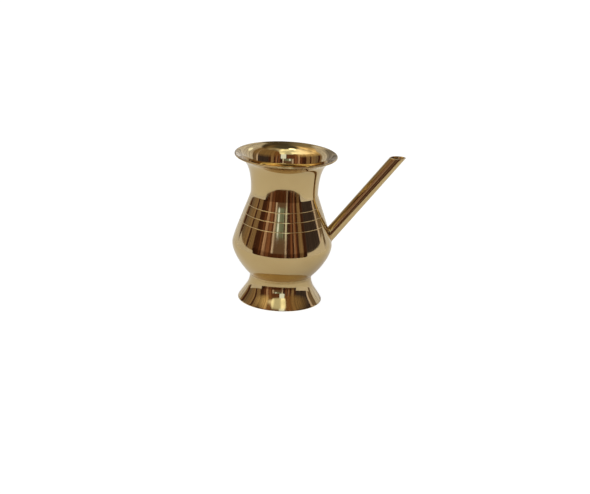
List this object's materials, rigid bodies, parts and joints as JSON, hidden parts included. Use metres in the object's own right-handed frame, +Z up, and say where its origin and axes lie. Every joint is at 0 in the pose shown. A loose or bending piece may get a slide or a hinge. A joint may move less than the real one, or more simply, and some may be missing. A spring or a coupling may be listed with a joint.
{
  "type": "spouted water pot",
  "caption": "Brass lota: a flaring-necked bowl on a hollow flared foot, with a straight tube spout for pouring water.",
  "frame": {"origin": "on the ground, under the centre of the whole pot's bounding box; the bowl's own axis stands 23 mm from it, at negative X", "axes": "+Z up from the surface the foot stands on, +X the way the spout leans out"},
  "size_m": [0.1142, 0.068, 0.1],
  "materials": {
    "polished_brass": "polished",
    "brazing_alloy": "satin"
  },
  "bodies": {
    "root": {"bowl": "polished_brass", "foot": "polished_brass", "spout_tube": "polished_brass", "foot_solder": "brazing_alloy", "spout_seam_solder": "brazing_alloy", "spout_root_solder": "brazing_alloy"}
  },
  "joints": []
}
